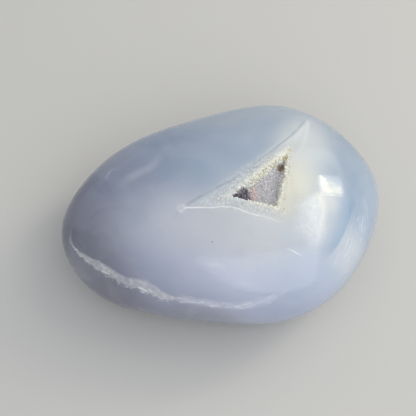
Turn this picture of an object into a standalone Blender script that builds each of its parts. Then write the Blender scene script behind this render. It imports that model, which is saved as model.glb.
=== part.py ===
"""A polished pebble of blue chalcedony with a small pocket of quartz crystals in its top.

The pebble is one closed body around its middle point, with a small flat spot underneath to rest on.
The pocket is cut into its top, and a crust of quartz lines the pocket, with flat-faced points inside.
Long side along X, broad end at +X, flat spot at z = 0, in metres.
"""

import math
import random

import bmesh
import bpy
from mathutils import Vector

MM = 0.001

# Driving dimensions, in millimetres and degrees
MIDDLE = (-0.45, 0.65, 10.7)
CROWN_HEIGHT = 12.5
KEEL_DEPTH = 12.0
# The outline's worn sides: the way each faces (turn from +X towards +Y) and its distance from the middle
OUTLINE_SIDES = {
    "broad end": (0, 33.0),
    "far corner of the broad end": (32, 27.9),
    "far hip": (58, 24.2),
    "far side": (97, 18.5),
    "far slope": (122, 21.1),
    "far corner of the narrow end": (148, 25.1),
    "narrow end": (180, 35.3),
    "near corner of the narrow end": (210, 27.5),
    "near slope": (234, 24.9),
    "near side": (255, 18.8),
    "near hip": (292, 24.3),
    "near corner of the broad end": (326, 25.8),
}
# How closely the body follows its sides and flats, from a soft blend at 2 to sharp edges above 20
SIDE_BLEND = 10.0
SHOULDER_BLEND = 2.5
FLAT_BLEND = 10.0
# Worn flats: the way each faces (turn from +X, then tilt up from level) and its distance from the middle
WORN_FLATS = {
    "top": (245, 76, 12.0),
    "far shoulder": (100, 58, 14.6),
    "over the broad end": (0, 48, 21.8),
    "near bevel": (225, 40, 20.6),
    "sole": (0, -90, 11.3),
    "under far side": (60, -42, 19.5),
    "under narrow end": (175, -38, 25.3),
    "under near side": (290, -42, 20.2),
}
STONE_DETAIL = 5

# The pocket is a triangle in plan: the way each side faces, and how sharp its corners are
POCKET_CENTRE = (6.8, -1.15)
POCKET_SIDES = (-113, -18, 120)
CORNER_SHARPNESS = 14
POCKET_TOP_LEVEL = 22.1
# Depth below the top level, then the distance of the near, right and far side from the centre
POCKET_LEVELS = (
    (4.1, 2.2, 1.9, 2.2),
    (3.6, 2.9, 2.5, 2.9),
    (2.2, 3.7, 3.1, 3.6),
    (0.0, 4.1, 3.3, 4.1),
    (-3.0, 4.3, 3.5, 4.3),
)
OUTLINE_POINTS = 48

CRUST_GAP = 0.3
CRUST_SINK = 0.15
# The hollow inside the crust: its share of the way from floor to rim, depth and side distances
HOLLOW_LEVELS = (
    (0.00, 2.9, 0.0, 0.0, 0.0),
    (0.33, 2.7, 1.9, 1.7, 1.8),
    (0.62, 2.2, 2.9, 2.4, 2.5),
    (0.80, 1.2, 2.8, 2.4, 2.8),
    (1.00, 0.1, 2.9, 2.5, 3.3),
    (2.00, -3.0, 2.9, 2.5, 3.3),
)
HOLLOW_DETAIL = 4
BARE_RIM = 0.2
POINT_LENGTHS = (0.2, 0.42)
POINT_SCATTER = 0.07
SEED = 11

SHARP_ANGLE = 40

# Linear colours, roughness
FINISHES = {
    "stone": ((0.45, 0.53, 0.66), 0.12),
    "druzy_crust": ((0.62, 0.60, 0.56), 0.35),
}


def facing(turn, tilt):
    turn = math.radians(turn)
    tilt = math.radians(tilt)
    return Vector((math.cos(turn) * math.cos(tilt), math.sin(turn) * math.cos(tilt), math.sin(tilt)))


def stone_reach(direction):
    """Distance in millimetres from the middle to the surface along a unit direction."""
    level = 0.0
    for turn, distance in OUTLINE_SIDES.values():
        lean = direction.dot(facing(turn, 0)) / distance
        level += max(0.0, lean) ** SIDE_BLEND
    level = level ** (1 / SIDE_BLEND)
    upright = direction.z / CROWN_HEIGHT if direction.z > 0 else -direction.z / KEEL_DEPTH
    fullness = (level**SHOULDER_BLEND + upright**SHOULDER_BLEND) ** (FLAT_BLEND / SHOULDER_BLEND)
    for turn, tilt, distance in WORN_FLATS.values():
        lean = direction.dot(facing(turn, tilt)) / distance
        fullness += max(0.0, lean) ** FLAT_BLEND
    return fullness ** (-1 / FLAT_BLEND)


def triangle_reach(turn, distances):
    """Reach of the pocket's rounded triangle at a turn, for the distances of its three sides."""
    total = 0.0
    for side, distance in zip(POCKET_SIDES, distances):
        lean = math.cos(turn - math.radians(side)) / distance
        total += max(0.0, lean) ** CORNER_SHARPNESS
    return total ** (-1 / CORNER_SHARPNESS)


def new_object(name, bm, collection):
    mesh = bpy.data.meshes.new(name)
    bm.normal_update()
    bm.to_mesh(mesh)
    bm.free()
    made = bpy.data.objects.new(name, mesh)
    collection.objects.link(made)
    return made


def finish_material(name):
    colour, roughness = FINISHES[name]
    material = bpy.data.materials.new(name)
    material.use_nodes = True
    shader = material.node_tree.nodes["Principled BSDF"]
    shader.inputs["Base Color"].default_value = (*colour, 1.0)
    shader.inputs["Roughness"].default_value = roughness
    shader.inputs["Metallic"].default_value = 0.0
    return material


def cut(target, operation, cutter):
    modifier = target.modifiers.new(operation.lower(), "BOOLEAN")
    modifier.operation = operation
    modifier.solver = "EXACT"
    modifier.object = cutter


def pebble_body(sink):
    """The whole pebble before any cut, as a bmesh, lowered by sink millimetres."""
    bm = bmesh.new()
    bmesh.ops.create_icosphere(bm, subdivisions=STONE_DETAIL, radius=1.0)
    middle = Vector(MIDDLE)
    for vert in bm.verts:
        direction = vert.co.normalized()
        vert.co = (middle + direction * stone_reach(direction)) * MM
        vert.co.z -= sink * MM
    return bm


def make_stone(collection):
    bm = pebble_body(0.0)
    geometry = bm.verts[:] + bm.edges[:] + bm.faces[:]
    bmesh.ops.bisect_plane(
        bm, geom=geometry, plane_co=(0, 0, 0), plane_no=(0, 0, -1), clear_outer=True
    )
    open_edges = [edge for edge in bm.edges if edge.is_boundary]
    bmesh.ops.edgeloop_fill(bm, edges=open_edges)
    bmesh.ops.recalc_face_normals(bm, faces=bm.faces)
    return new_object("stone", bm, collection)


def pocket_body(name, inset, collection):
    """The pocket as a stack of rounded triangles, each side moved in by inset millimetres."""
    bm = bmesh.new()
    bmesh.ops.create_circle(bm, cap_ends=True, segments=OUTLINE_POINTS, radius=1.0)
    for index, (depth, *distances) in enumerate(POCKET_LEVELS):
        if index:
            lid = max(bm.faces, key=lambda face: face.calc_center_median().z)
            rim = bmesh.ops.extrude_face_region(bm, geom=[lid])["geom"]
            if index > 1:
                bm.faces.remove(lid)
            ring = [item for item in rim if isinstance(item, bmesh.types.BMVert)]
        else:
            ring = bm.verts[:]
            depth -= inset
        for vert in ring:
            turn = math.atan2(vert.co.y, vert.co.x)
            reach = triangle_reach(turn, [distance - inset for distance in distances])
            vert.co = Vector((math.cos(turn) * reach, math.sin(turn) * reach, -depth))
    bmesh.ops.recalc_face_normals(bm, faces=bm.faces)
    move_to_pocket(bm)
    return new_object(name, bm, collection)


def move_to_pocket(bm):
    centre = Vector((*POCKET_CENTRE, POCKET_TOP_LEVEL))
    for vert in bm.verts:
        vert.co = (vert.co + centre) * MM


def hollow_place(share, turn):
    """A point of the hollow's wall, from its share of the way between floor centre and rim."""
    for lower, upper in zip(HOLLOW_LEVELS, HOLLOW_LEVELS[1:]):
        if share <= upper[0]:
            break
    blend = (share - lower[0]) / (upper[0] - lower[0])
    reaches = [
        triangle_reach(turn, level[2:]) if min(level[2:]) > 0 else 0.0 for level in (lower, upper)
    ]
    reach = reaches[0] + (reaches[1] - reaches[0]) * blend
    depth = lower[1] + (upper[1] - lower[1]) * blend
    return Vector((math.cos(turn) * reach, math.sin(turn) * reach, -depth))


def hollow_body(collection):
    """The hollow inside the crust, with each cell of its wall drawn in to a crystal's point."""
    chance = random.Random(SEED)
    bm = bmesh.new()
    bmesh.ops.create_icosphere(bm, subdivisions=HOLLOW_DETAIL, radius=1.0)
    for vert in bm.verts:
        direction = vert.co.normalized()
        share = math.acos(max(-1.0, min(1.0, -direction.z))) / (math.pi / 2)
        vert.co = hollow_place(share, math.atan2(direction.y, direction.x))
        if share < 1.0:
            for axis in range(3):
                vert.co[axis] += chance.uniform(-POINT_SCATTER, POINT_SCATTER)
    bm.normal_update()
    wall = [face for face in bm.faces if face.calc_center_median().z < -BARE_RIM]
    tips = bmesh.ops.poke(bm, faces=wall, offset=0.0)["verts"]
    for tip in tips:
        inward = -sum((face.normal for face in tip.link_faces), Vector()).normalized()
        tip.co += inward * chance.uniform(*POINT_LENGTHS)
    bmesh.ops.triangulate(bm, faces=bm.faces[:])
    move_to_pocket(bm)
    return new_object("crust_hollow", bm, collection)


def add_cutter(made):
    made.hide_render = True
    made.display_type = "WIRE"
    return made


def make_collection(name):
    collection = bpy.data.collections.new(name)
    bpy.context.scene.collection.children.link(collection)
    return collection


def main():
    for leftover in list(bpy.data.objects):
        bpy.data.objects.remove(leftover)
    pebble = make_collection("blue chalcedony")
    cutters = make_collection("cutters")

    stone = make_stone(pebble)
    pocket = add_cutter(pocket_body("pocket", 0.0, cutters))
    cut(stone, "DIFFERENCE", pocket)

    crust = pocket_body("druzy_crust", CRUST_GAP, pebble)
    skin = add_cutter(new_object("pebble_skin", pebble_body(CRUST_SINK), cutters))
    hollow = add_cutter(hollow_body(cutters))
    cut(crust, "INTERSECT", skin)
    cut(crust, "DIFFERENCE", hollow)

    for node in (stone, crust):
        node.data.materials.append(finish_material(node.name))
    stone.data.shade_smooth()
    stone.data.set_sharp_from_angle(angle=math.radians(SHARP_ANGLE))


main()
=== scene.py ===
# Polished blue chalcedony pebble with a small pocket of quartz crystals, on a pale table.
import math
import random
import bmesh
import bpy
import numpy as np
from mathutils import Matrix, Vector, noise


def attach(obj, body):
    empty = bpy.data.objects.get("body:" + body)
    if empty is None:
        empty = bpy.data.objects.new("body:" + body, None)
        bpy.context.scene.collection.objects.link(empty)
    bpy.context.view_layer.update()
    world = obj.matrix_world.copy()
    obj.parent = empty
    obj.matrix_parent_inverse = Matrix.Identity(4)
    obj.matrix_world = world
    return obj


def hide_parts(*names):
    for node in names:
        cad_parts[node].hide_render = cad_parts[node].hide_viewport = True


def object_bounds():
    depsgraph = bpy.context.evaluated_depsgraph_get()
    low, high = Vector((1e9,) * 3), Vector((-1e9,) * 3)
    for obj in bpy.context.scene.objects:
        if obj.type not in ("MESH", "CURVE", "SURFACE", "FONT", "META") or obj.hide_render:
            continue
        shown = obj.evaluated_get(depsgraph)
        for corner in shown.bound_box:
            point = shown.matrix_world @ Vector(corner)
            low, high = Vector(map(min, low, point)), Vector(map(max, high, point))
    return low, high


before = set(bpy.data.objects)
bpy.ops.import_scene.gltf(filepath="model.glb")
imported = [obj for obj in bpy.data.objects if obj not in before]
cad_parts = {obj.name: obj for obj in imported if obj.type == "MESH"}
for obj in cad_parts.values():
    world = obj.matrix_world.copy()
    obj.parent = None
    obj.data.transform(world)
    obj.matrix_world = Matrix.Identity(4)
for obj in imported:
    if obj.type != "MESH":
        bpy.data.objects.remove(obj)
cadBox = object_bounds()
mm = 0.001

# Where things are, in millimetres: +X is the broad end, -Y the near side, the table is z = 0
pebble = {
    "middle": (-0.45, 0.65, 10.7),
    "crownHeight": 12.5,
    "keelDepth": 12.0,
    # the turn that each side faces and its distance from the middle
    "outlineSides": [(0, 33.0), (32, 27.9), (58, 24.2), (97, 18.5), (122, 21.1), (148, 25.1),
                     (180, 35.3), (210, 27.5), (234, 24.9), (255, 18.8), (292, 24.3), (326, 25.8)],
    # the same for the worn flats: turn, tilt up from level, distance
    "wornFlats": [(245, 76, 12.0), (100, 58, 14.6), (0, 48, 21.8), (225, 40, 20.6),
                  (0, -90, 11.3), (60, -42, 19.5), (175, -38, 25.3), (290, -42, 20.2)],
    "sideBlend": 10.0,
    "shoulderBlend": 2.5,
    "flatBlend": 10.0,
    "around": 360,  # mesh columns
    "rings": 236,
    "columnShift": 0.25,  # columns stand closer where the skin is further away
    "ringSpread": 0.35,  # rings stand closer near the pocket
    "insideLevel": 8.0,  # inside the pebble, to look up from
    "beyond": 60.0,  # outside it, from any place inside
    "halvings": 26,
    "polishWave": 0.03,  # how far the hand polish strays from true
    "creaseDepth": 0.03,
    "creaseWidth": 0.3,
    "bruiseDepth": 0.07,
}
pocket = {
    "centre": (6.8, -1.15),
    "topLevel": 22.1,
    "sides": (-113, -18, 120),  # the way the near, right and far side face
    "sharpness": 14,
    # depth, then how far the near, right and far side are from the centre
    "levels": [(0.0, 4.1, 3.3, 4.1), (2.2, 3.7, 3.1, 3.6), (3.6, 2.9, 2.5, 2.9), (4.1, 2.2, 1.9, 2.2)],
    "hollowSides": (-113, -22, 120),  # the same for the hollow inside the crust
    "hollowRim": (2.9, 2.5, 2.95),
    "rings": 7,  # mesh rings from the middle of its floor to its mouth
    "lip": 0.25,  # width of the skin that turns in at its mouth
    "lipTurn": (0.03, 0.15),  # then inwards and down
}


def triangleReach(turn, distances, sides=pocket["sides"]):
    total = 0.0
    for side, distance in zip(sides, distances):
        lean = np.maximum(0.0, np.cos(turn - math.radians(side))) / distance
        total = total + lean ** pocket["sharpness"]
    return total ** (-1.0 / pocket["sharpness"])


def facing(turn, tilt):
    turn, tilt = math.radians(turn), math.radians(tilt)
    return np.array((math.cos(turn) * math.cos(tilt), math.sin(turn) * math.cos(tilt), math.sin(tilt)))


def fullness(points):  # 1 on the pebble's skin, less inside it
    q = points - np.array(pebble["middle"])
    level = 0.0
    for turn, distance in pebble["outlineSides"]:
        level = level + (np.maximum(0.0, q @ facing(turn, 0)) / distance) ** pebble["sideBlend"]
    level = level ** (1 / pebble["sideBlend"])
    upright = np.where(q[:, 2] > 0, q[:, 2] / pebble["crownHeight"], -q[:, 2] / pebble["keelDepth"])
    blend = pebble["shoulderBlend"]
    full = (level**blend + upright**blend) ** (pebble["flatBlend"] / blend)
    for turn, tilt, distance in pebble["wornFlats"]:
        full = full + (np.maximum(0.0, q @ facing(turn, tilt)) / distance) ** pebble["flatBlend"]
    return full ** (1 / pebble["flatBlend"])


def reachSkin(origin, directions):  # where rays from inside the pebble meet its skin, found by halving
    near = np.zeros(len(directions))
    far = np.full(len(directions), pebble["beyond"])
    for _ in range(pebble["halvings"]):
        half = (near + far) / 2
        inside = fullness(origin + directions * half[:, None]) < 1
        near = np.where(inside, half, near)
        far = np.where(inside, far, half)
    return origin + directions * far[:, None]


def skinHeight(x, y):
    up = np.tile((0.0, 0.0, 1.0), (len(x), 1))
    start = np.column_stack((x, y, np.full(len(x), pebble["insideLevel"])))
    return reachSkin(start, up)[:, 2]


def getVectors(mesh, what):
    flat = np.empty(len(mesh.vertices) * 3)
    mesh.vertices.foreach_get(what, flat)
    return flat.reshape(-1, 3)


def setPoints(mesh, points):
    mesh.vertices.foreach_set("co", np.asarray(points, float).ravel())
    mesh.update()


def makeSphereMesh(around, rings):  # with each point's ring, 0 at the top pole, and its turn
    bm = bmesh.new()
    bmesh.ops.create_uvsphere(bm, u_segments=around, v_segments=rings, radius=1.0)
    mesh = bpy.data.meshes.new("shaped")
    bm.to_mesh(mesh)
    bm.free()
    start = getVectors(mesh, "co")
    ring = np.rint(np.arccos(np.clip(start[:, 2], -1, 1)) / math.pi * rings).astype(int)
    return mesh, ring, np.arctan2(start[:, 1], start[:, 0])


def noiseAt(points, size, seed=0.0):
    shift = Vector((seed, seed * 1.7, -seed))
    return np.array([noise.noise(Vector(point) / size + shift) for point in points])


def finishPiece(name, mesh, material, cadNode, smooth):  # smooth is 1 or 0 for each face
    mesh.transform(Matrix.Scale(mm, 4))
    mesh.polygons.foreach_set("use_smooth", smooth)
    mesh.materials.append(material)
    mesh.name = name
    piece = bpy.data.objects.new(name, mesh)
    bpy.context.scene.collection.objects.link(piece)
    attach(piece, "root")
    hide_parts(cadNode)
    print(name + ":", len(mesh.polygons), "faces")


# Material nodes
class NodeBench:  # a short way to lay out a material's nodes
    def __init__(self, name):
        self.material = bpy.data.materials.new(name)
        self.material.use_nodes = True
        self.tree = self.material.node_tree
        self.shader = self.tree.nodes["Principled BSDF"].inputs

    def feed(self, socket, value):
        if isinstance(value, bpy.types.NodeSocket):
            self.tree.links.new(value, socket)
        else:
            socket.default_value = value

    def node(self, kind, inputs=None, **settings):
        made = self.tree.nodes.new(kind)
        for key, value in settings.items():
            setattr(made, key, value)
        for key, value in (inputs or {}).items():
            self.feed(made.inputs[key], value)
        return made

    def position(self):  # Object coordinates in millimetres
        place = self.node("ShaderNodeTexCoord").outputs["Object"]
        inputs = {"Vector": place, "Scale": (1 / mm, 1 / mm, 1 / mm)}
        return self.node("ShaderNodeMapping", inputs).outputs["Vector"]

    def math(self, operation, *values):
        return self.node("ShaderNodeMath", dict(enumerate(values)), operation=operation).outputs[0]

    def vectorMath(self, operation, first, second):  # for what comes out as one number
        inputs = {0: first, 1: second}
        return self.node("ShaderNodeVectorMath", inputs, operation=operation).outputs["Value"]

    def times(self, first, *others):
        for other in others:
            first = self.math("MULTIPLY", first, other)
        return first

    def plus(self, first, *others):
        for other in others:
            first = self.math("ADD", first, other)
        return first

    def ramp(self, value, low, high, bottom=0.0, top=1.0):
        ranged = {"Value": value, "From Min": low, "From Max": high, "To Min": bottom, "To Max": top}
        return self.node("ShaderNodeMapRange", ranged, interpolation_type="SMOOTHSTEP").outputs["Result"]

    def noise(self, place, size, detail=2.0, rough=0.5, distort=0.0):  # lumps about size millimetres across
        inputs = {"Vector": place, "Scale": 1.0 / size, "Detail": detail, "Roughness": rough,
                  "Distortion": distort}
        return self.node("ShaderNodeTexNoise", inputs).outputs["Fac"]

    def stray(self, place, size, reach, detail=2.0):  # noise from -reach to reach
        return self.times(self.math("SUBTRACT", self.noise(place, size, detail, 0.6), 0.5), reach * 2)

    def mix(self, share, first, second):
        made = self.node("ShaderNodeMix", data_type="RGBA")
        for socket, value in zip([made.inputs[0], made.inputs[6], made.inputs[7]], [share, first, second]):
            self.feed(socket, (*value, 1.0) if isinstance(value, tuple) else value)
        return made.outputs[2]

    def attribute(self, name, output):
        return self.node("ShaderNodeAttribute", attribute_name=name).outputs[output]

    def route(self, name):  # sideways distance, strength and a value along it
        return self.node("ShaderNodeSeparateXYZ", {"Vector": self.attribute(name, "Vector")}).outputs

    def axes(self, place):
        return self.node("ShaderNodeSeparateXYZ", {"Vector": place}).outputs

    def streaks(self, across, along, detail=2.0):  # noise drawn out along a route
        drawn = self.node("ShaderNodeCombineXYZ", {"X": across, "Y": along}).outputs["Vector"]
        return self.noise(drawn, 1.0, detail, 0.6)

    def pastTriangle(self, place, sides, distances):  # how far outside a triangle round the pocket
        most = None
        for side, distance in zip(sides, distances):
            way = facing(side, 0)
            reach = self.vectorMath("DOT_PRODUCT", place, way)
            own = self.math("SUBTRACT", reach, float(way[:2] @ np.array(pocket["centre"])) + distance)
            most = own if most is None else self.math("MAXIMUM", most, own)
        return most

    def acrossRim(self, place):  # 0 at the edge of the hollow, 1 at the pocket's mouth in the skin
        inner = self.pastTriangle(place, pocket["hollowSides"], pocket["hollowRim"])
        outer = self.pastTriangle(place, pocket["sides"], pocket["levels"][0][1:])
        width = self.math("MAXIMUM", self.math("SUBTRACT", inner, outer), 0.3)
        return self.math("DIVIDE", inner, width)

    def quartzVeil(self, place, colour, rim):  # quartz just under the skin, less away from the pocket
        there = self.ramp(rim, 2.6, 0.6)
        there = self.times(there, self.ramp(self.axes(place)["X"], 9.5, 5.5, 0.25, 1.0))
        colour = self.mix(self.times(there, 0.35), colour, stoneFinish["nearQuartz"])
        grains = self.noise(place, 0.36, 2.0, 0.6)
        bright = self.times(there, self.ramp(grains, 0.52, 0.62), 0.6)
        colour = self.mix(bright, colour, stoneFinish["whiteVein"])
        dark = self.times(there, self.ramp(grains, 0.46, 0.36), 0.4)
        return self.mix(dark, colour, stoneFinish["grainShadow"])

    def patch(self, place, centre, radius, ragged=0.0, core=0.4):  # 1 in the core, 0 outside the radius
        away = self.vectorMath("DISTANCE", place, centre)
        if ragged:
            away = self.plus(away, self.stray(place, radius * 0.6, ragged))
        return self.ramp(away, radius, radius * core)


# Markings follow the skin: each route is a few places on it, in millimetres, with how it fades at its ends
markings = {
    "crease": {"route": [(-9.5, -4.2, 21.0), (-6.9, -2.0, 21.4), (-2.3, -0.1, 22.1), (2.7, 1.6, 22.5),
                         (7.3, 4.5, 22.5), (12.6, 8.3, 21.4), (14.9, 10.7, 20.1), (16.5, 12.9, 18.6)],
               "fade": (0.15, 0.08)},
    "hairline": {"route": [(-7.2, -2.1, 21.4), (-2.7, -2.9, 21.6), (-0.3, -3.2, 21.8), (1.6, -3.9, 21.8),
                           (3.6, -5.1, 21.7), (5.8, -6.0, 21.6), (8.5, -7.5, 21.3)],
                 "fade": (0.02, 0.25)},
    "sideline": {"route": [(16.8, 12.7, 18.5), (15.8, 9.4, 20.3), (14.5, 6.6, 21.4), (12.6, 3.6, 22.1)],
                 "fade": (0.1, 0.5)},
    "dash": {"route": [(8.0, -11.2, 20.5), (9.0, -11.9, 20.3), (10.1, -12.6, 20.0), (10.8, -13.1, 19.7)],
             "fade": (0.5, 0.5)},
    "bruise": {"route": [(-25.7, -0.6, 16.5), (-26.2, -2.7, 15.1), (-23.9, -5.9, 15.2),
                         (-21.1, -8.4, 15.6), (-18.2, -10.9, 15.4), (-15.0, -12.4, 15.9),
                         (-12.1, -14.4, 15.0), (-8.1, -15.8, 15.1), (-5.0, -16.8, 15.0),
                         (-1.9, -17.7, 15.1), (0.5, -18.2, 15.4), (2.6, -18.2, 16.1),
                         (4.5, -18.1, 16.7), (8.2, -17.2, 17.9)],
               "fade": (0.06, 0.12)},
    "crescent": {"route": [(21.4, -2.0, 18.3), (21.1, -4.3, 18.2), (20.1, -6.3, 18.4), (18.7, -8.7, 18.5),
                           (17.3, -10.7, 18.6), (15.9, -12.2, 18.7), (14.0, -13.9, 18.8)],
                 "fade": (0.25, 0.3)},
    "fold": {"route": [(14.7, -2.6, 21.4), (15.2, -4.1, 21.1), (15.3, -6.0, 20.8), (14.6, -7.9, 20.5),
                       (14.1, -9.3, 20.3), (12.8, -12.0, 19.9)], "fade": (0.1, 0.3)},
    "upperWisp": {"route": [(-18.9, 5.5, 19.7), (-18.6, 6.8, 19.4), (-17.7, 7.7, 19.3), (-16.3, 7.2, 19.9)],
                  "fade": (0.3, 0.5)},
    "longWisp": {"route": [(-17.1, 3.5, 20.6), (-14.9, 5.0, 20.9), (-11.4, 6.2, 21.2), (-8.7, 8.9, 20.8)],
                 "fade": (0.3, 0.4)},
    "nearWisp": {"route": [(-5.6, -11.4, 19.2), (-3.0, -12.1, 19.3), (-1.4, -13.2, 19.1)],
                 "fade": (0.4, 0.4)},
    "lowWisp": {"route": [(-1.6, -14.9, 18.2), (0.8, -15.6, 18.3), (3.4, -16.4, 18.1)],
                "fade": (0.4, 0.4)},
}
wisps = {  # half width, strength
    "upperWisp": (0.5, 0.2),
    "longWisp": (1.3, 0.24),
    "nearWisp": (0.7, 0.4),
    "lowWisp": (0.8, 0.35),
}
bruiseWidths = [  # x, half width
    (-26.0, 0.15), (-25.0, 0.4), (-23.5, 0.6), (-21.5, 0.9), (-18.0, 0.9), (-14.5, 1.1),
    (-12.0, 0.9), (-10.4, 0.45), (-6.0, 0.3), (-3.0, 0.55), (4.0, 0.5), (8.7, 0.15),
]
spots = {  # centre, radius
    "knot": ((-7.3, -2.2, 21.4), 1.1),  # where the crease and the hairline meet
    "speck": ((-3.3, -8.4, 20.3), 0.2),
}
# Milkiness and colour by place, with painted shade in the darker clouds at the narrow end and low on the
# flanks: centre, radius, linear colour
clouds = {
    # the narrow tip is darker partly from its clearer stone and partly from painted shade
    "narrowTip": ((-25.0, 0.1, 17.2), 7.0, (0.155, 0.155, 0.205)),
    "narrowLow": ((-24.7, -5.9, 14.2), 6.0, (0.26, 0.27, 0.32)),
    "farSlopeLeft": ((-17.9, 4.9, 20.2), 7.0, (0.23, 0.26, 0.36)),
    "farSlope": ((-8.5, 8.8, 20.8), 7.0, (0.29, 0.355, 0.485)),
    "farShoulder": ((4.1, 13.4, 19.7), 7.0, (0.40, 0.475, 0.57)),
    "farTop": ((-0.7, 5.2, 22.4), 5.0, (0.38, 0.46, 0.58)),
    "middleLeft": ((-14.1, -2.0, 20.6), 6.0, (0.47, 0.51, 0.60)),
    "heartLeft": ((-8.8, -4.7, 20.7), 4.5, (0.61, 0.63, 0.69)),
    "heart": ((-2.6, -7.0, 20.8), 6.0, (0.60, 0.63, 0.67)),
    "heartRight": ((4.6, -9.5, 20.8), 5.0, (0.71, 0.72, 0.73)),
    "nearLeft": ((-11.5, -11.8, 17.8), 6.0, (0.415, 0.445, 0.585)),
    "nearMiddle": ((-2.3, -15.1, 18.0), 6.0, (0.59, 0.63, 0.78)),
    "nearRight": ((8.0, -16.1, 18.6), 6.0, (0.52, 0.59, 0.71)),
    # the lower flanks are darker partly from the stone's own tone and partly from painted shade
    "underLeft": ((-19.3, -12.0, 12.0), 6.0, (0.212, 0.21, 0.268)),
    "underMiddle": ((-6.7, -17.0, 11.1), 6.0, (0.30, 0.32, 0.39)),
    "underRight": ((6.1, -19.0, 12.9), 6.0, (0.46, 0.51, 0.68)),
    "broadEnd": ((24.0, -3.6, 15.0), 8.0, (0.38, 0.47, 0.60)),
    "broadUpper": ((22.4, 4.1, 17.8), 6.0, (0.30, 0.38, 0.49)),
    "quartzBed": ((11.4, -0.5, 22.0), 3.8, (0.76, 0.76, 0.68)),
    "creamBed": ((10.3, -1.2, 22.1), 2.0, (0.86, 0.83, 0.66)),
    "creamCorner": ((9.3, -4.6, 21.8), 1.6, (0.82, 0.80, 0.66)),
    "frosted": ((12.5, -7.3, 21.1), 3.6, (0.60, 0.64, 0.68)),
    "besideFold": ((16.5, -4.2, 20.5), 1.7, (0.76, 0.77, 0.76)),
    "quartzFar": ((15.7, 6.5, 21.0), 4.0, (0.72, 0.75, 0.74)),
    "wedge": ((1.5, 0.4, 22.3), 2.6, (0.50, 0.56, 0.61)),
    "paleStreaks": ((19.3, -11.4, 16.9), 3.2, (0.62, 0.66, 0.72)),
    "sole": ((0.0, 0.0, 0.0), 9.0, (0.40, 0.44, 0.52)),
}
stoneFinish = {
    "polish": 0.075,
    "refraction": 1.54,
    "reliefHeight": 0.00012,  # metres
    "scatterDepth": 0.0020,  # metres
    "scatterColour": (0.75, 0.85, 1.0),
    "scatterShare": 0.7,
    "quartzScatter": 0.15,  # the same beside the pocket and in its crust
    "whiteVein": (0.86, 0.88, 0.90),
    "mist": (0.70, 0.72, 0.78),
    "bruised": (0.66, 0.66, 0.68),
    "softBand": (0.77, 0.79, 0.89),
    # painted shade for the crease
    "creaseShade": (0.25, 0.31, 0.40),
    "deepBlue": (0.30, 0.42, 0.56),
    "speck": (0.20, 0.21, 0.25),
    "nearQuartz": (0.74, 0.76, 0.74),
    "grainShadow": (0.44, 0.46, 0.47),
    # colour of the highlight painted along the fold
    "paintedWarmHighlight": (0.90, 0.89, 0.82),
}


def smoothRoute(corners, steps=8):  # points along a smooth curve through the corners
    corners = [Vector(corner) for corner in corners]
    padded = [corners[0] * 2 - corners[1], *corners, corners[-1] * 2 - corners[-2]]
    path = []
    for before, start, end, after in zip(padded, padded[1:], padded[2:], padded[3:]):
        for step in range(steps):
            t = step / steps
            second = (2 * before - 5 * start + 4 * end - after) * t**2
            third = (3 * start - before - 3 * end + after) * t**3
            path.append(0.5 * (2 * start + (end - before) * t + second + third))
    return np.array(path + [corners[-1]])


def measureRoute(points, normals, marking):
    # for each point: how far to the side of the route it is, in millimetres, how strong, and how far along
    path = smoothRoute(marking["route"])
    spans = path[1:] - path[:-1]
    lengths = np.linalg.norm(spans, axis=1)
    travelled = np.concatenate(([0.0], np.cumsum(lengths)))
    best = np.full(len(points), 1e9)
    sideways, along = np.zeros(len(points)), np.zeros(len(points))
    for start, span, length, done in zip(path, spans, lengths, travelled):
        t = np.clip((points - start) @ span / length**2, 0, 1)
        offset = points - start - t[:, None] * span
        away = np.linalg.norm(offset, axis=1)
        signed = (offset * np.cross(span / length, normals)).sum(axis=1)
        closer = away < best
        best = np.where(closer, away, best)
        sideways = np.where(closer, signed, sideways)
        along = np.where(closer, (done + t * length) / travelled[-1], along)
    beyond = np.sqrt(np.maximum(0.0, best**2 - sideways**2))
    fadeIn, fadeOut = marking["fade"]
    strength = np.clip(along / fadeIn, 0, 1) * np.clip((1 - along) / fadeOut, 0, 1)
    return sideways, strength * np.clip(1.5 - beyond / 1.5, 0, 1), along


def paintClouds(points):
    colour = np.zeros((len(points), 3))
    weight = np.zeros(len(points))
    for place, radius, tint in clouds.values():
        away = np.linalg.norm(points - np.array(place), axis=1)
        pull = np.exp(-((away / radius) ** 2)) + 0.002 / (1 + away)
        colour += pull[:, None] * np.array(tint)
        weight += pull
    return colour / weight[:, None]


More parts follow.
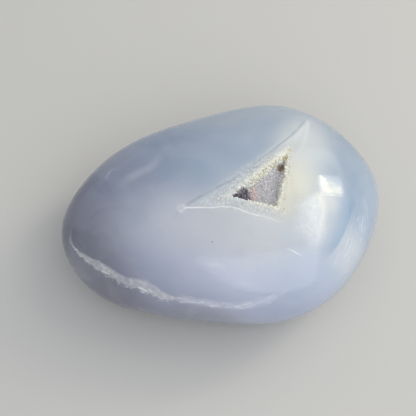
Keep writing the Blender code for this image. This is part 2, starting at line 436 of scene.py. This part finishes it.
def shapePebble():
    mesh, ring, turn = makeSphereMesh(pebble["around"], pebble["rings"])
    turn = turn + pebble["columnShift"] * np.sin(turn)
    centre = np.array(pocket["centre"])
    mouth = triangleReach(turn, pocket["levels"][0][1:])
    mouthX, mouthY = centre[0] + mouth * np.cos(turn), centre[1] + mouth * np.sin(turn)
    mouthZ = skinHeight(mouthX, mouthY)

    # From the mouth outwards: rays from a point under the pocket, close together at first
    origin = np.array((*pocket["centre"], pebble["middle"][2]))
    share = np.clip((ring - pocket["rings"]) / (pebble["rings"] - pocket["rings"]), 0, 1)
    share = pebble["ringSpread"] * share**2 + (1 - pebble["ringSpread"]) * share
    mouthTilt = np.arctan2(mouth, mouthZ - origin[2])
    tilt = mouthTilt + (math.pi - mouthTilt) * share
    rays = np.column_stack((np.sin(tilt) * np.cos(turn), np.sin(tilt) * np.sin(turn), np.cos(tilt)))
    points = reachSkin(origin, rays)

    # Inwards: down the pocket's wall to its floor, as ring, reach and height
    _, lower, low, floor = pocket["levels"]
    inwards, down = pocket["lipTurn"]
    lip = mouth - pocket["lip"]
    lipZ = skinHeight(centre[0] + lip * np.cos(turn), centre[1] + lip * np.sin(turn))
    steps = [(7, mouth, mouthZ), (6, lip, lipZ), (5, lip - inwards, lipZ - down)]
    for index, (depth, *distances) in zip((4, 3, 2), (lower, low, floor)):
        steps.append((index, triangleReach(turn, distances), pocket["topLevel"] - depth + 0 * turn))
    floorZ = pocket["topLevel"] - floor[0] + 0 * turn
    for index, spread in ((1, 0.5), (0, 0.0)):
        steps.append((index, triangleReach(turn, floor[1:]) * spread, floorZ))
    for index, reach, height in steps:
        here = ring == index
        points[here, 0] = (centre[0] + reach * np.cos(turn))[here]
        points[here, 1] = (centre[1] + reach * np.sin(turn))[here]
        points[here, 2] = height[here]
    setPoints(mesh, points)
    return mesh, points, ring > pocket["rings"]


def addRelief(points, normals, skin, routes):  # the hand polish, the worn crease and the bruised edge
    stray = noiseAt(points[skin], 7.0) + 0.4 * noiseAt(points[skin], 2.6, 3.0)  # broad, then finer
    sideways, strength, _ = routes["crease"]
    crease = -pebble["creaseDepth"] * np.exp(-((sideways / pebble["creaseWidth"]) ** 2)) * strength
    sideways, strength, _ = routes["bruise"]
    width = np.interp(points[:, 0], *zip(*bruiseWidths))
    crushed = np.clip(1.3 - np.abs(sideways) / width, 0, 1) * strength
    grain = noiseAt(points[skin], 0.9, 5.0) + noiseAt(points[skin], 0.45, 9.0) - 0.35
    relief = stray * pebble["polishWave"] + crease[skin] + crushed[skin] * grain * pebble["bruiseDepth"]
    points[skin] += normals[skin] * relief[:, None]


def keepInBox(points):  # the dressed pebble is no larger than its solid
    low, high = (np.array(corner) / mm for corner in cadBox)
    own = points.min(axis=0), points.max(axis=0)
    points[:, :2] = (low + (points - own[0]) * (high - low) / (own[1] - own[0]))[:, :2]
    points[:, 2] = np.clip(points[:, 2], 0.0, None) * high[2] / own[1][2]


def makePebble():
    mesh, points, skin = shapePebble()
    normals = getVectors(mesh, "normal")
    routes = {name: measureRoute(points, normals, marking) for name, marking in markings.items()}
    colour = paintClouds(points)
    addRelief(points, normals, skin, routes)
    keepInBox(points)
    setPoints(mesh, points)
    layer = mesh.attributes.new("tint", "FLOAT_COLOR", "POINT")
    layer.data.foreach_set("color", np.column_stack((colour, np.ones(len(colour)))).ravel())
    for name, (sideways, strength, along) in routes.items():
        if name == "bruise":
            along = np.interp(points[:, 0], *zip(*bruiseWidths))
        layer = mesh.attributes.new(name, "FLOAT_VECTOR", "POINT")
        layer.data.foreach_set("vector", np.column_stack((sideways, strength, along)).ravel())
    smooth = np.ones(len(mesh.polygons), bool)
    finishPiece("polishedPebble", mesh, chalcedonyMaterial(), "stone", smooth)


def chalcedonyMaterial():
    bench = NodeBench("chalcedony")
    place = bench.position()
    mix, times, plus, ramp, size = bench.mix, bench.times, bench.plus, bench.ramp, bench.noise
    finish = stoneFinish

    # Cloudy milk inside the stone, in soft lumps and thin drifting sheets
    colour = bench.attribute("tint", "Color")
    colour = mix(ramp(size(place, 6.0, 3.0, 0.45, 0.6), 0.35, 0.7, 0.0, 0.12), colour, finish["mist"])
    colour = mix(ramp(size(place, 4.0, 3.0, 0.5, 1.2), 0.45, 0.2, 0.0, 0.12), colour, finish["deepBlue"])
    sheets = bench.node("ShaderNodeTexWave", {
        "Vector": place, "Scale": 0.045, "Distortion": 5.0, "Detail": 2.0, "Detail Scale": 1.2,
        "Detail Roughness": 0.55}, wave_type="BANDS", bands_direction="DIAGONAL").outputs["Fac"]
    thin = times(ramp(sheets, 0.80, 1.0, 0.0, 0.08), ramp(size(place, 9.0, 1.0), 0.45, 0.65))
    colour = mix(thin, colour, finish["mist"])
    for name, (halfWidth, share) in wisps.items():
        wisp = bench.route(name)
        away = bench.math("ABSOLUTE", plus(wisp[0], bench.stray(place, 1.5, 0.3)))
        colour = mix(times(ramp(away, halfWidth, 0.0), wisp[1], share), colour, finish["mist"])

    # At the broad end: a deeper blue band with a sharp outer edge, and fine pale striations outside it
    crescent = bench.route("crescent")
    band = times(ramp(crescent[0], -0.25, 0.1), ramp(crescent[0], 3.2, 0.2), crescent[1])
    colour = mix(times(band, 0.75), colour, finish["deepBlue"])
    slanting = plus(times(crescent[0], 3.2), times(crescent[2], 9.0))
    lines = bench.streaks(slanting, times(crescent[2], 5.0), 3.0)
    lines = times(ramp(lines, 0.49, 0.62), ramp(size(place, 2.4, 1.0), 0.35, 0.55), crescent[1])
    lines = times(lines, ramp(crescent[0], -0.3, -1.4), ramp(crescent[0], -5.5, -3.0))
    colour = mix(times(lines, 0.5), colour, finish["whiteVein"])

    # Frosted quartz beside the pocket, up to a soft fold, with a warm highlight painted along the fold
    fold = bench.route("fold")
    frosted = times(ramp(fold[0], -1.6, 0.2), ramp(fold[0], 5.2, 3.2), fold[1])
    speckle = ramp(size(place, 0.5, 3.0, 0.6), 0.32, 0.68)
    colour = mix(times(frosted, 0.3), colour, finish["whiteVein"])
    frost = times(frosted, speckle)
    colour = mix(times(frost, 0.4), colour, finish["whiteVein"])
    # a painted highlight along the fold
    foldHighlight = ramp(bench.math("ABSOLUTE", fold[0]), 0.65, 0.0)
    foldHighlight = times(foldHighlight, fold[1], ramp(fold[2], 1.0, 0.1, 0.15, 0.5))
    colour = mix(foldHighlight, colour, finish["paintedWarmHighlight"])

    # Grains of quartz that show through round the pocket
    rim = bench.acrossRim(place)
    colour = bench.quartzVeil(place, colour, plus(rim, bench.stray(place, 1.2, 0.5)))

    # The crease, darkened with painted shade in its shallow groove, the pale side of it, and hair-thin
    # healed cracks
    wobble = bench.stray(place, 1.2, 0.08)

    def line(name, halfWidth, share, tint, base):
        field = bench.route(name)
        away = bench.math("ABSOLUTE", plus(field[0], wobble))
        there = times(ramp(away, halfWidth, halfWidth * 0.3), field[1])
        return mix(times(there, share), base, tint), there

    crease = bench.route("crease")
    paleSide = times(ramp(crease[0], 0.0, 0.6), ramp(crease[0], 1.8, 0.5))
    paleSide = times(paleSide, ramp(crease[2], 0.6, 0.85), crease[1])
    colour = mix(times(paleSide, 0.35), colour, finish["whiteVein"])
    faint = ramp(size(place, 2.6, 1.0), 0.35, 0.6, 0.12, 0.34)
    # painted shade along the crease
    colour, creaseThere = line("crease", 0.34, faint, finish["creaseShade"], colour)
    uneven = ramp(size(place, 1.1, 1.0), 0.35, 0.6, 0.6, 0.95)
    colour, _ = line("hairline", 0.19, uneven, finish["whiteVein"], colour)
    knot = bench.patch(place, *spots["knot"], 0.4)
    knot = times(knot, ramp(size(place, 0.5, 2.0), 0.4, 0.6, 0.15, 0.5))
    colour = mix(knot, colour, finish["whiteVein"])
    colour, _ = line("sideline", 0.5, 0.28, finish["whiteVein"], colour)
    colour, _ = line("dash", 0.16, 0.9, finish["whiteVein"], colour)
    colour = mix(times(bench.patch(place, *spots["speck"]), 0.6), colour, finish["speck"])

    # The bruised edge: crushed grains at the narrow end, with a straight upper side and a ragged
    # lower one, then a soft pale band
    bruise = bench.route("bruise")
    across = bench.math("DIVIDE", bruise[0], bruise[2])
    narrow = ramp(bench.axes(place)["X"], -8.0, -11.0)
    above = plus(times(across, -1.0), bench.stray(place, 1.3, 0.35))
    below = plus(across, bench.stray(place, 1.1, 1.5, 4.0))
    inside = times(ramp(bench.math("MAXIMUM", above, below), 1.25, 0.6), bruise[1], narrow)
    grains = size(place, 0.5, 4.0, 0.75)
    crushed = plus(ramp(size(place, 1.6, 2.0), 0.36, 0.6, 0.28, 0.56), ramp(grains, 0.4, 0.6, 0.0, 0.35))
    colour = mix(times(inside, crushed), colour, finish["bruised"])
    drawn = bench.streaks(times(bruise[0], 2.6), times(bench.axes(place)["X"], 0.55), 3.0)
    halfWidth = ramp(bench.axes(place)["X"], 2.0, 8.0, 1.2, 0.6)
    away = bench.math("ABSOLUTE", plus(bruise[0], bench.stray(place, 3.0, 0.2)))
    band = times(ramp(away, halfWidth, 0.0), bruise[1])
    soft = times(band, ramp(narrow, 1.0, 0.0), ramp(size(place, 2.2, 2.0), 0.3, 0.65, 0.5, 0.9))
    soft = times(soft, ramp(drawn, 0.35, 0.6, 0.55, 1.0))
    colour = mix(soft, colour, finish["softBand"])
    glossy = times(band, ramp(drawn, 0.52, 0.62), ramp(narrow, 0.0, 1.0, 0.8, 0.3))
    colour = mix(glossy, colour, finish["whiteVein"])
    lower = times(ramp(across, -0.2, 0.5), ramp(across, 1.9, 1.1), bruise[1], narrow)
    flecks = times(lower, ramp(drawn, 0.53, 0.60), ramp(size(place, 1.6, 1.0), 0.44, 0.56))
    colour = mix(times(flecks, 0.85), colour, finish["whiteVein"])
    chips = ramp(size(place, 0.8, 2.0, 0.5), 0.67, 0.71)
    chips = times(chips, ramp(across, -0.8, 0.2), ramp(across, 3.0, 1.0))
    colour = mix(times(chips, bruise[1], 0.7), colour, finish["whiteVein"])

    # A few tiny pits and specks that the polish left
    cells = bench.node("ShaderNodeTexVoronoi", {"Vector": place, "Scale": 0.22}).outputs
    pits = times(ramp(cells["Distance"], 0.035, 0.02), ramp(size(place, 11.0, 0.0), 0.5, 0.52))
    colour = mix(times(pits, 0.5), colour, finish["whiteVein"])

    # Gloss and fine relief
    roughness = plus(finish["polish"], times(inside, 0.35), times(frosted, 0.10), times(frost, 0.06))
    roughness = plus(roughness, times(size(place, 0.25, 2.0, 0.6), 0.03))
    polishLines = bench.node("ShaderNodeTexWave", {
        "Vector": place, "Scale": 0.5, "Distortion": 3.0, "Detail": 1.0, "Detail Scale": 0.3},
        wave_type="BANDS", bands_direction="Y").outputs["Fac"]
    polishLines = times(polishLines, ramp(size(place, 5.0, 1.0), 0.35, 0.65, 0.02, 0.05))
    height = plus(times(grains, inside), times(creaseThere, -0.2), times(frost, 0.06))
    height = plus(height, times(pits, -0.5), polishLines)
    relief = {"Height": height, "Strength": 0.7, "Distance": finish["reliefHeight"]}
    bump = bench.node("ShaderNodeBump", relief)
    bench.feed(bench.shader["Base Color"], colour)
    bench.feed(bench.shader["Roughness"], roughness)
    bench.feed(bench.shader["Normal"], bump.outputs["Normal"])
    bench.shader["IOR"].default_value = finish["refraction"]
    scatter = ramp(rim, 1.0, 3.0, finish["quartzScatter"], finish["scatterShare"])
    bench.feed(bench.shader["Subsurface Weight"], scatter)
    bench.shader["Subsurface Radius"].default_value = finish["scatterColour"]
    bench.shader["Subsurface Scale"].default_value = finish["scatterDepth"]
    return bench.material


# The crust of quartz crystals in the pocket
crust = {
    "around": 240,
    "rings": 100,
    # share of the rings, what the level counts from, level, distance of the near, right and far side
    "profile": [(0.00, "pocket", -1.5, 0.0, 0.0, 0.0), (0.22, "pocket", -1.5, 1.9, 1.5, 1.6),
                (0.32, "pocket", -1.35, 2.65, 2.05, 2.3), (0.44, "pocket", -0.75, 2.85, 2.4, 2.65),
                (0.56, "skin", -0.06, 2.9, 2.5, 2.95), (0.60, "skin", 0.0, 3.05, 2.62, 3.1),
                (0.74, "skin", 0.015, 3.85, 3.2, 3.85), (0.80, "skin", 0.012, 4.2, 3.45, 4.2),
                (0.83, "skin", -0.003, 4.4, 3.6, 4.4), (0.86, "skin", -0.04, 4.6, 3.8, 4.6),
                (0.88, "skin", -0.25, 4.3, 3.5, 4.3),
                (0.92, "pocket", -2.2, 3.5, 2.9, 3.4),
                (0.96, "pocket", -3.6, 2.7, 2.3, 2.7), (1.00, "pocket", -3.8, 0.0, 0.0, 0.0)],
    "hollowShare": 0.60,  # up to here the profile has the sides of the hollow, then those of the pocket
    "floorSlope": 0.17,  # the hollow is shallower towards the broad end
    "floorShare": 0.28,  # up to here the profile is the hollow's floor, then its wall, then its worn rim
    "wallShare": 0.57,
    "rimShare": 0.80,
    "roughness": 0.08,  # height of the bumps under the crystals
    "rimRoughness": 0.02,
    "rimStand": 0.04,  # crystals are worn off at this height above the skin
    "rimThins": ((6.0, 1.0), (9.5, 0.1)),  # x, share of the crystals
    "crystalKinds": 14,
    "crystalFaces": 13,
    "floorCrystals": {"count": 480, "spacing": 0.19, "width": (0.10, 0.20), "height": (0.16, 0.34),
                      "lean": 0.4, "sink": 0.08},
    "wallCrystals": {"count": 520, "spacing": 0.27, "width": (0.15, 0.33), "height": (0.32, 0.66),
                     "lean": 0.35, "sink": 0.16},
    "rimCrystals": {"count": 520, "spacing": 0.17, "width": (0.07, 0.17), "height": (0.10, 0.20),
                    "lean": 0.55, "sink": 0.08},
    "tries": 15,  # for each crystal, to find it a free place
    "footStray": 0.04,
    "ragged": 0.14,  # how far the rim strays from its triangle
    "wavy": 0.25,
    "ownLight": 0.6,  # share of its brightness that a crystal's facets have in common
    # painted brightness; low in the hollow as painted shade between the crystals
    "groundLight": (0.1, 0.7),  # brightness between crystals in the hollow, then on the rim
    "seed": 5,
}
druseFinish = {
    "cream": (0.91, 0.90, 0.77),
    "rimCream": (0.75, 0.73, 0.62),
    "frostWhite": (0.80, 0.84, 0.84),
    "floorGrey": (0.70, 0.69, 0.76),
    # painted shade for the hollow's deep left corner
    "cornerShade": (0.20, 0.16, 0.22),
    "pink": (0.80, 0.63, 0.60),
    "brown": (0.24, 0.16, 0.06),
    "ochre": (0.52, 0.40, 0.16),
    # painted shade between the crystals
    "gapShade": (0.50, 0.46, 0.35),
    # colour of the painted glints
    "sparkle": (0.97, 0.97, 0.92),
    "gloss": 0.12,
    "scatterDepth": 0.0004,  # metres
    "paleFrom": (20.8, 21.3),  # levels between which the grey floor turns to pale walls
}
stains = [  # centre, radius, colour, strength
    # painted shade in the deep left corner of the hollow
    ((2.4, -1.1, 20.1), 2.1, "cornerShade", 0.85),
    ((4.9, -0.5, 20.5), 0.75, "pink", 0.7),
    ((4.8, -1.5, 20.4), 0.8, "pink", 0.7),
    ((9.9, 2.5, 21.4), 0.78, "brown", 0.85),
    ((10.4, 0.9, 21.3), 0.35, "brown", 0.5),
    ((10.9, 3.9, 21.8), 0.6, "ochre", 0.5),
    ((11.8, 5.2, 21.9), 0.42, "ochre", 0.55),
    # a painted glint on the far rim
    ((10.5, 4.7, 22.3), 0.7, "sparkle", 0.35),
]


def shapeCrust():
    mesh, ring, turn = makeSphereMesh(crust["around"], crust["rings"])
    share = ring / crust["rings"]
    around = np.column_stack((np.cos(turn) * 4, np.sin(turn) * 4, 0 * turn))
    ragged, wavy = noiseAt(around, 0.7), noiseAt(around, 1.9, 7.0)
    stations = []
    for at, surface, level, *distances in crust["profile"]:
        inHollow = at <= crust["hollowShare"]
        sides = pocket["hollowSides"] if inHollow else pocket["sides"]
        reach = triangleReach(turn, distances, sides) if distances[0] else 0 * turn
        if surface == "skin":
            reach = reach + ragged * crust["ragged"] + (0 if inHollow else wavy * crust["wavy"])
        x = pocket["centre"][0] + reach * np.cos(turn)
        y = pocket["centre"][1] + reach * np.sin(turn)
        z = level + (skinHeight(x, y) if surface == "skin" else pocket["topLevel"])
        if surface == "pocket" and inHollow:
            z = z + (x - pocket["centre"][0]) * crust["floorSlope"]
        stations.append((at, np.column_stack((x, y, z + 0 * x))))
    points = np.zeros((len(ring), 3))
    for (lowShare, low), (highShare, high) in zip(stations, stations[1:]):
        here = (share >= lowShare) & (share <= highShare)
        t = ((share - lowShare) / (highShare - lowShare))[here, None]
        points[here] = low[here] * (1 - t) + high[here] * t
    setPoints(mesh, points)
    normals = getVectors(mesh, "normal")
    onWall, onRim = share < crust["wallShare"], (share >= crust["wallShare"]) & (share < crust["rimShare"])
    for here, height in ((onWall, crust["roughness"]), (onRim, crust["rimRoughness"])):
        bumps = noiseAt(points[here], 0.6) + 0.7 * noiseAt(points[here], 0.25, 4.0)
        points[here] += normals[here] * (bumps * height)[:, None]
    setPoints(mesh, points)
    return mesh, share


def makeCrystalKinds(chance):  # six-sided quartz points, about 1 across and 1 high, none quite regular
    kinds = []
    for _ in range(crust["crystalKinds"]):
        bm = bmesh.new()
        body = chance.uniform(0.3, 0.6)
        bmesh.ops.create_cone(bm, cap_ends=True, segments=6, radius1=1.0, radius2=0.92, depth=body,
                              matrix=Matrix.Translation((0, 0, body / 2)))
        for vert in bm.verts:
            place = vert.co.xy.to_3d() * 0.9 + Vector((len(kinds) * 3.1, 0, 0))
            vert.co.xy = vert.co.xy * (0.8 + 0.35 * noise.noise(place) + 0.15)
        top = max(bm.faces, key=lambda face: face.calc_center_median().z)
        tip = bmesh.ops.poke(bm, faces=[top], offset=1 - body)["verts"][0]
        tip.co.xy = tip.co.xy + Vector((chance.uniform(-0.3, 0.3), chance.uniform(-0.3, 0.3)))
        mesh = bpy.data.meshes.new("crystalKind")
        bm.to_mesh(mesh)
        bm.free()
        kinds.append(mesh)
    return kinds


def scatterCrystals(mesh, density, settings, kinds, chance):
    count = len(mesh.polygons)
    stray = crust["footStray"]
    places, ways, areas = np.empty(count * 3), np.empty(count * 3), np.empty(count)
    mesh.polygons.foreach_get("center", places)
    mesh.polygons.foreach_get("normal", ways)
    mesh.polygons.foreach_get("area", areas)
    places, ways = places.reshape(-1, 3), ways.reshape(-1, 3)
    running = np.cumsum(areas * density)
    feet = np.full((settings["count"], 3), 1e3)
    grown = 0
    bm = bmesh.new()
    for _ in range(settings["count"] * crust["tries"]):
        if grown == settings["count"]:
            break
        index = int(np.searchsorted(running, chance.random() * running[-1]))
        foot = places[index] + [chance.uniform(-stray, stray) for _ in range(3)]
        if np.min(np.sum((feet[:grown + 1] - foot) ** 2, axis=1)) < settings["spacing"] ** 2:
            continue
        feet[grown] = foot
        grown += 1
        lean = Vector([chance.gauss(0, settings["lean"]) for _ in range(3)])
        way = (Vector(ways[index]) + lean).normalized()
        width, height = chance.uniform(*settings["width"]), chance.uniform(*settings["height"])
        crystal = chance.choice(kinds).copy()
        crystal.transform(Matrix.Translation(Vector(foot) - way * settings["sink"])
                          @ way.to_track_quat("Z", "Y").to_matrix().to_4x4()
                          @ Matrix.Rotation(chance.uniform(0, math.tau), 4, "Z")
                          @ Matrix.Diagonal((width, width, height, 1.0)))
        bm.from_mesh(crystal)
        bpy.data.meshes.remove(crystal)
    print("crystals:", grown)
    return bm


def makeCrust():
    chance = random.Random(crust["seed"])
    mesh, share = shapeCrust()
    faceShare = np.array([share[face.vertices[0]] for face in mesh.polygons])
    faceX = np.array([face.center.x for face in mesh.polygons])
    onFloor, onWall = faceShare < crust["floorShare"], faceShare < crust["wallShare"]
    onRim = ~onWall & (faceShare < crust["rimShare"])
    densities = (onFloor, onWall & ~onFloor, onRim * np.interp(faceX, *zip(*crust["rimThins"])))
    kinds = makeCrystalKinds(chance)
    bm = bmesh.new()
    bm.from_mesh(mesh)
    for name, density in zip(("floorCrystals", "wallCrystals", "rimCrystals"), densities):
        batch = scatterCrystals(mesh, density, crust[name], kinds, chance)
        shuttle = bpy.data.meshes.new("shuttle")
        batch.to_mesh(shuttle)
        batch.free()
        bm.from_mesh(shuttle)
        bpy.data.meshes.remove(shuttle)
    for kind in kinds:
        bpy.data.meshes.remove(kind)
    bm.to_mesh(mesh)
    bm.free()
    points = getVectors(mesh, "co")
    worn = skinHeight(points[:, 0], points[:, 1]) + crust["rimStand"]
    points[:, 2] = np.minimum(points[:, 2], np.minimum(worn, cadBox[1].z / mm))
    setPoints(mesh, points)

    # How bright each facet is painted, standing in for light and shade on the facets: every crystal has its
    # own light, and each of its facets strays from it
    plain = len(faceShare)
    lights = np.random.default_rng(crust["seed"])
    grown = (len(mesh.polygons) - plain) // crust["crystalFaces"]
    facets = crust["ownLight"] * np.repeat(lights.random(grown), crust["crystalFaces"])
    facets = facets + (1 - crust["ownLight"]) * lights.random(grown * crust["crystalFaces"])
    # painted shade between the crystals in the hollow, lighter on the rim
    ground = np.where(onWall, *crust["groundLight"])
    layer = mesh.attributes.new("facet", "FLOAT", "FACE")
    layer.data.foreach_set("value", np.concatenate((ground, facets)))
    layer = mesh.attributes.new("tint", "FLOAT_COLOR", "POINT")
    layer.data.foreach_set("color", np.column_stack((paintClouds(points), np.ones(len(points)))).ravel())
    smooth = np.arange(len(mesh.polygons)) < plain
    finishPiece("quartzDruse", mesh, druseMaterial(), "druzy_crust", smooth)


def druseMaterial():
    bench = NodeBench("quartzDruse")
    place = bench.position()
    finish = druseFinish
    axes = bench.axes(place)
    tilted = bench.times(bench.plus(axes["X"], -pocket["centre"][0]), -crust["floorSlope"])
    level = bench.plus(axes["Z"], tilted, bench.stray(place, 0.6, 0.25))
    raised = bench.ramp(level, *finish["paleFrom"])
    pale = bench.mix(bench.ramp(axes["X"], 6.5, 1.5), finish["cream"], finish["frostWhite"])
    colour = bench.mix(raised, finish["floorGrey"], pale)

    # The worn rim takes the colour of the pebble's skin
    across = bench.plus(bench.acrossRim(place), bench.stray(place, 0.7, 0.25))
    warm = bench.times(bench.ramp(axes["X"], 7.0, 9.5, 0.0, 0.5), bench.ramp(axes["Y"], 4.0, 1.0, 0.2, 1.0))
    skin = bench.mix(warm, bench.attribute("tint", "Color"), finish["rimCream"])
    skin = bench.quartzVeil(place, skin, across)
    colour = bench.mix(bench.ramp(across, 0.0, 0.55), colour, skin)

    # Painted shade between the crystals and on some facets, painted glints on others
    facet = bench.attribute("facet", "Fac")
    gapShadeShare = bench.times(bench.ramp(facet, 0.42, 0.05, 0.0, 0.6), bench.ramp(across, 0.0, 0.6, 1.0, 0.45))
    colour = bench.mix(gapShadeShare, colour, finish["gapShade"])
    colour = bench.mix(bench.ramp(facet, 0.72, 0.92, 0.0, 0.85), colour, finish["sparkle"])

    # The rim of the far wall is as rough as sugar, with painted shade between its grains and painted glints
    # on them
    farWall = bench.pastTriangle(place, [pocket["hollowSides"][2]], [pocket["hollowRim"][2]])
    sugar = bench.times(bench.ramp(farWall, -1.2, -0.4), bench.ramp(across, 1.0, 0.4))
    grains = bench.noise(place, 0.26, 2.0, 0.7)
    colour = bench.mix(bench.times(sugar, bench.ramp(grains, 0.46, 0.36), 0.4), colour, finish["gapShade"])
    colour = bench.mix(bench.times(sugar, bench.ramp(grains, 0.54, 0.64), 0.8), colour, finish["sparkle"])

    # Stains on the crystals, with painted shade in the hollow's left corner and a painted glint on the far
    # rim
    for centre, radius, tint, share in stains:
        stain = bench.patch(place, centre, radius, radius * 0.5, 0.65)
        colour = bench.mix(bench.times(stain, share), colour, finish[tint])
    bench.feed(bench.shader["Base Color"], colour)
    bench.shader["Roughness"].default_value = finish["gloss"]
    bench.shader["IOR"].default_value = stoneFinish["refraction"]
    bench.shader["Subsurface Weight"].default_value = stoneFinish["quartzScatter"]
    bench.shader["Subsurface Radius"].default_value = (1.0, 1.0, 1.0)
    bench.shader["Subsurface Scale"].default_value = finish["scatterDepth"]
    return bench.material


# Table, lights and camera
studio = {
    "tableSize": 1.2,  # metres
    "tableColour": (0.62, 0.61, 0.59),
    "tableRoughness": 0.7,
    "glint": (17.6, -1.3, 20.6),  # the place on the pebble that shows the window
    "skyColour": (0.92, 0.95, 1.0),
    "skyStrength": 0.5,
    "cameraTurn": -9,
    "cameraTilt": 64,
    "cameraDistance": 170,
    "cameraLens": 85,
    "cameraClip": 0.01,  # metres
    "aimRight": -2.08,
    "aimUp": 1.21,
}
lamps = {  # way to the lamp, way its long side runs, distance, sides in metres, watts, colour
    "window": ((0.79, 0.29, 0.54), (0.56, 0.02, -0.83), 0.32,
               (0.165, 0.052), 0.085, (1.0, 0.95, 0.88)),
    "windowHeart": ((0.69, 0.31, 0.656), (0.56, 0.02, -0.83), 0.31,
                    (0.036, 0.022), 0.022, (1.0, 0.95, 0.80)),
    "lowStreak": ((0.806, 0.235, 0.549), (0.56, 0.02, -0.83), 0.31,
                  (0.14, 0.009), 0.036, (1.0, 0.86, 0.32)),
    "midStreak": ((0.80, 0.28, 0.545), (0.56, -0.07, -0.83), 0.31,
                  (0.13, 0.007), 0.026, (1.0, 0.86, 0.36)),
    "sideStrip": ((0.52, 0.07, 0.85), (0.05, 0.98, -0.1), 0.32,
                  (0.07, 0.012), 0.035, (1.0, 0.95, 0.85)),
    "key": ((0.72, 0.25, 0.64), (0.56, 0.02, -0.83), 0.7, (0.7, 0.7), 1.6, (1.0, 0.98, 0.93)),
    "fill": ((0.2, -0.6, 0.78), (1, 0, 0), 0.6, (0.6, 0.6), 1.3, (0.96, 0.98, 1.0)),
}


def makeTable():
    bm = bmesh.new()
    bmesh.ops.create_grid(bm, x_segments=2, y_segments=2, size=studio["tableSize"] / 2)
    mesh = bpy.data.meshes.new("table")
    bm.to_mesh(mesh)
    bm.free()
    table = bpy.data.objects.new("table", mesh)
    bpy.context.scene.collection.objects.link(table)
    bench = NodeBench("paleTable")
    bench.feed(bench.shader["Base Color"], (*studio["tableColour"], 1.0))
    bench.shader["Roughness"].default_value = studio["tableRoughness"]
    mesh.materials.append(bench.material)


def turnTowards(way, longSide):  # a matrix whose Z is the way and whose X runs along the long side
    z = Vector(way).normalized()
    x = Vector(longSide)
    x = (x - z * x.dot(z)).normalized()
    return Matrix((x, z.cross(x), z)).transposed().to_4x4()


def makeLight(name):
    way, longSide, distance, size, power, colour = lamps[name]
    data = bpy.data.lights.new(name, "AREA")
    data.shape = "RECTANGLE"
    data.size, data.size_y = size
    data.energy = power
    data.color = colour
    light = bpy.data.objects.new(name, data)
    bpy.context.scene.collection.objects.link(light)
    place = Vector(studio["glint"]) * mm + Vector(way).normalized() * distance
    light.matrix_world = Matrix.Translation(place) @ turnTowards(way, longSide)


def makeCamera():
    turn, tilt = math.radians(studio["cameraTurn"]), math.radians(studio["cameraTilt"])
    back = Vector((math.sin(turn) * math.cos(tilt), -math.cos(turn) * math.cos(tilt), math.sin(tilt)))
    right = Vector((0, 0, 1)).cross(back).normalized()
    up = back.cross(right)
    aim = Vector(pebble["middle"]) + right * studio["aimRight"] + up * studio["aimUp"]
    data = bpy.data.cameras.new("camera")
    data.lens = studio["cameraLens"]
    data.clip_start = studio["cameraClip"]
    camera = bpy.data.objects.new("camera", data)
    bpy.context.scene.collection.objects.link(camera)
    place = (aim + back * studio["cameraDistance"]) * mm
    camera.matrix_world = Matrix.Translation(place) @ turnTowards(back, right)
    bpy.context.scene.camera = camera


def makeStudio():
    for name in lamps:
        makeLight(name)
    makeCamera()
    makeTable()
    world = bpy.data.worlds.new("softSky")
    world.use_nodes = True
    background = world.node_tree.nodes["Background"].inputs
    background["Color"].default_value = (*studio["skyColour"], 1.0)
    background["Strength"].default_value = studio["skyStrength"]
    bpy.context.scene.world = world
    bpy.context.scene.view_settings.view_transform = "Standard"
    print("studio: camera, lights and table")


makeStudio()
makePebble()
makeCrust()
